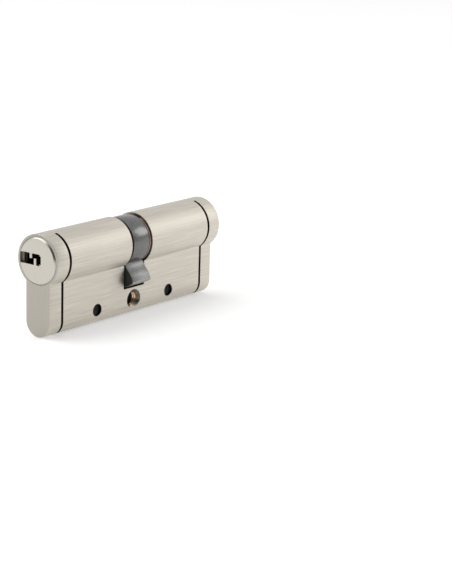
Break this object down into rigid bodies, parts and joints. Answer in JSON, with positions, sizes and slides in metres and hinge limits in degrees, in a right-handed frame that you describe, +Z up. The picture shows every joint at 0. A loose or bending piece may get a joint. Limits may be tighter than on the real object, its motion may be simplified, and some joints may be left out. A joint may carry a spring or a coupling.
{
  "type": "euro cylinder",
  "caption": "Euro profile lock cylinder with a turning plug at each end, cam lever, sliding clutch, sprung pin stacks and a steel anti-snap bar.",
  "frame": {"origin": "on the plugs' axis, in the plane across the cylinder through the fixing screw's hole", "axes": "+X along the plugs from the front end to the rear end, +Z up from the flat body to the round barrel, -Y the side that the cam lever leans to"},
  "size_m": [0.0808, 0.017, 0.033],
  "materials": {
    "satin_nickel": "satin brushed nickel plate over brass",
    "sintered_steel": "dark grey sintered steel, slightly mottled",
    "bar_steel": "ground steel",
    "blackened_steel": "black oxide",
    "hardened_steel": "hardened, ground",
    "spring_steel": "bright spring steel",
    "brass": "turned brass",
    "nickel_silver": "turned nickel silver"
  },
  "bodies": {
    "housing": {"housing": "satin_nickel", "anti_snap_bar": "bar_steel", "cross_pin_front": "blackened_steel", "cross_pin_rear": "blackened_steel", "body_drill_pin_front": "hardened_steel", "body_drill_pin_rear": "hardened_steel", "driver_spring_front_1": "spring_steel", "driver_spring_front_2": "spring_steel", "driver_spring_front_3": "spring_steel", "driver_spring_front_4": "spring_steel", "driver_spring_front_5": "spring_steel", "driver_spring_rear_1": "spring_steel", "driver_spring_rear_2": "spring_steel", "driver_spring_rear_3": "spring_steel", "driver_spring_rear_4": "spring_steel", "driver_spring_rear_5": "spring_steel"},
    "plug_front": {"plug_front": "satin_nickel", "plug_drill_pin_front": "hardened_steel", "circlip_front": "spring_steel"},
    "plug_rear": {"plug_rear": "satin_nickel", "plug_drill_pin_rear": "hardened_steel", "circlip_rear": "spring_steel"},
    "cam": {"cam": "sintered_steel"},
    "clutch": {"clutch": "bar_steel"},
    "key_pin_front_1": {"key_pin_front_1": "brass"},
    "key_pin_front_2": {"key_pin_front_2": "brass"},
    "key_pin_front_3": {"key_pin_front_3": "brass"},
    "key_pin_front_4": {"key_pin_front_4": "brass"},
    "key_pin_front_5": {"key_pin_front_5": "brass"},
    "key_pin_rear_1": {"key_pin_rear_1": "brass"},
    "key_pin_rear_2": {"key_pin_rear_2": "brass"},
    "key_pin_rear_3": {"key_pin_rear_3": "brass"},
    "key_pin_rear_4": {"key_pin_rear_4": "brass"},
    "key_pin_rear_5": {"key_pin_rear_5": "brass"},
    "driver_pin_front_1": {"driver_pin_front_1": "nickel_silver"},
    "driver_pin_front_2": {"driver_pin_front_2": "nickel_silver"},
    "driver_pin_front_3": {"driver_pin_front_3": "nickel_silver"},
    "driver_pin_front_4": {"driver_pin_front_4": "nickel_silver"},
    "driver_pin_front_5": {"driver_pin_front_5": "nickel_silver"},
    "driver_pin_rear_1": {"driver_pin_rear_1": "nickel_silver"},
    "driver_pin_rear_2": {"driver_pin_rear_2": "nickel_silver"},
    "driver_pin_rear_3": {"driver_pin_rear_3": "nickel_silver"},
    "driver_pin_rear_4": {"driver_pin_rear_4": "nickel_silver"},
    "driver_pin_rear_5": {"driver_pin_rear_5": "nickel_silver"}
  },
  "joints": [
    {"name": "front_plug_turn", "type": "hinge", "parent": "housing", "child": "plug_front", "pos_m": [0, 0, 0], "axis": [1, 0, 0], "continuous": true},
    {"name": "rear_plug_turn", "type": "hinge", "parent": "housing", "child": "plug_rear", "pos_m": [0, 0, 0], "axis": [1, 0, 0], "continuous": true},
    {"name": "cam_turn", "type": "hinge", "parent": "housing", "child": "cam", "pos_m": [0, 0, 0], "axis": [1, 0, 0], "continuous": true},
    {"name": "clutch_slide", "type": "slide", "parent": "cam", "child": "clutch", "axis": [1, 0, 0], "range_m": [0, 0.0051]},
    {"name": "key_pin_front_1_lift", "type": "slide", "parent": "plug_front", "child": "key_pin_front_1", "axis": [0, 0, 1], "range_m": [0, 0.0009]},
    {"name": "key_pin_front_2_lift", "type": "slide", "parent": "plug_front", "child": "key_pin_front_2", "axis": [0, 0, 1], "range_m": [0, 0.0009]},
    {"name": "key_pin_front_3_lift", "type": "slide", "parent": "plug_front", "child": "key_pin_front_3", "axis": [0, 0, 1], "range_m": [0, 0.0009]},
    {"name": "key_pin_front_4_lift", "type": "slide", "parent": "plug_front", "child": "key_pin_front_4", "axis": [0, 0, 1], "range_m": [0, 0.0009]},
    {"name": "key_pin_front_5_lift", "type": "slide", "parent": "plug_front", "child": "key_pin_front_5", "axis": [0, 0, 1], "range_m": [0, 0.0009]},
    {"name": "key_pin_rear_1_lift", "type": "slide", "parent": "plug_rear", "child": "key_pin_rear_1", "axis": [0, 0, 1], "range_m": [0, 0.0009]},
    {"name": "key_pin_rear_2_lift", "type": "slide", "parent": "plug_rear", "child": "key_pin_rear_2", "axis": [0, 0, 1], "range_m": [0, 0.0009]},
    {"name": "key_pin_rear_3_lift", "type": "slide", "parent": "plug_rear", "child": "key_pin_rear_3", "axis": [0, 0, 1], "range_m": [0, 0.0009]},
    {"name": "key_pin_rear_4_lift", "type": "slide", "parent": "plug_rear", "child": "key_pin_rear_4", "axis": [0, 0, 1], "range_m": [0, 0.0009]},
    {"name": "key_pin_rear_5_lift", "type": "slide", "parent": "plug_rear", "child": "key_pin_rear_5", "axis": [0, 0, 1], "range_m": [0, 0.0009]},
    {"name": "driver_pin_front_1_drop", "type": "slide", "parent": "housing", "child": "driver_pin_front_1", "axis": [0, 0, -1], "range_m": [0, 0.0016], "stiffness_N_per_m": 100, "springref_m": -0.003, "deforming": ["driver_spring_front_1"]},
    {"name": "driver_pin_front_2_drop", "type": "slide", "parent": "housing", "child": "driver_pin_front_2", "axis": [0, 0, -1], "range_m": [0, 0.0016], "stiffness_N_per_m": 100, "springref_m": -0.003, "deforming": ["driver_spring_front_2"]},
    {"name": "driver_pin_front_3_drop", "type": "slide", "parent": "housing", "child": "driver_pin_front_3", "axis": [0, 0, -1], "range_m": [0, 0.0016], "stiffness_N_per_m": 100, "springref_m": -0.003, "deforming": ["driver_spring_front_3"]},
    {"name": "driver_pin_front_4_drop", "type": "slide", "parent": "housing", "child": "driver_pin_front_4", "axis": [0, 0, -1], "range_m": [0, 0.0016], "stiffness_N_per_m": 100, "springref_m": -0.003, "deforming": ["driver_spring_front_4"]},
    {"name": "driver_pin_front_5_drop", "type": "slide", "parent": "housing", "child": "driver_pin_front_5", "axis": [0, 0, -1], "range_m": [0, 0.0016], "stiffness_N_per_m": 100, "springref_m": -0.003, "deforming": ["driver_spring_front_5"]},
    {"name": "driver_pin_rear_1_drop", "type": "slide", "parent": "housing", "child": "driver_pin_rear_1", "axis": [0, 0, -1], "range_m": [0, 0.0016], "stiffness_N_per_m": 100, "springref_m": -0.003, "deforming": ["driver_spring_rear_1"]},
    {"name": "driver_pin_rear_2_drop", "type": "slide", "parent": "housing", "child": "driver_pin_rear_2", "axis": [0, 0, -1], "range_m": [0, 0.0016], "stiffness_N_per_m": 100, "springref_m": -0.003, "deforming": ["driver_spring_rear_2"]},
    {"name": "driver_pin_rear_3_drop", "type": "slide", "parent": "housing", "child": "driver_pin_rear_3", "axis": [0, 0, -1], "range_m": [0, 0.0016], "stiffness_N_per_m": 100, "springref_m": -0.003, "deforming": ["driver_spring_rear_3"]},
    {"name": "driver_pin_rear_4_drop", "type": "slide", "parent": "housing", "child": "driver_pin_rear_4", "axis": [0, 0, -1], "range_m": [0, 0.0016], "stiffness_N_per_m": 100, "springref_m": -0.003, "deforming": ["driver_spring_rear_4"]},
    {"name": "driver_pin_rear_5_drop", "type": "slide", "parent": "housing", "child": "driver_pin_rear_5", "axis": [0, 0, -1], "range_m": [0, 0.0016], "stiffness_N_per_m": 100, "springref_m": -0.003, "deforming": ["driver_spring_rear_5"]}
  ],
  "couplings": [
    {"joint": "cam_turn", "follows": "front_plug_turn", "ratio": 1}
  ]
}
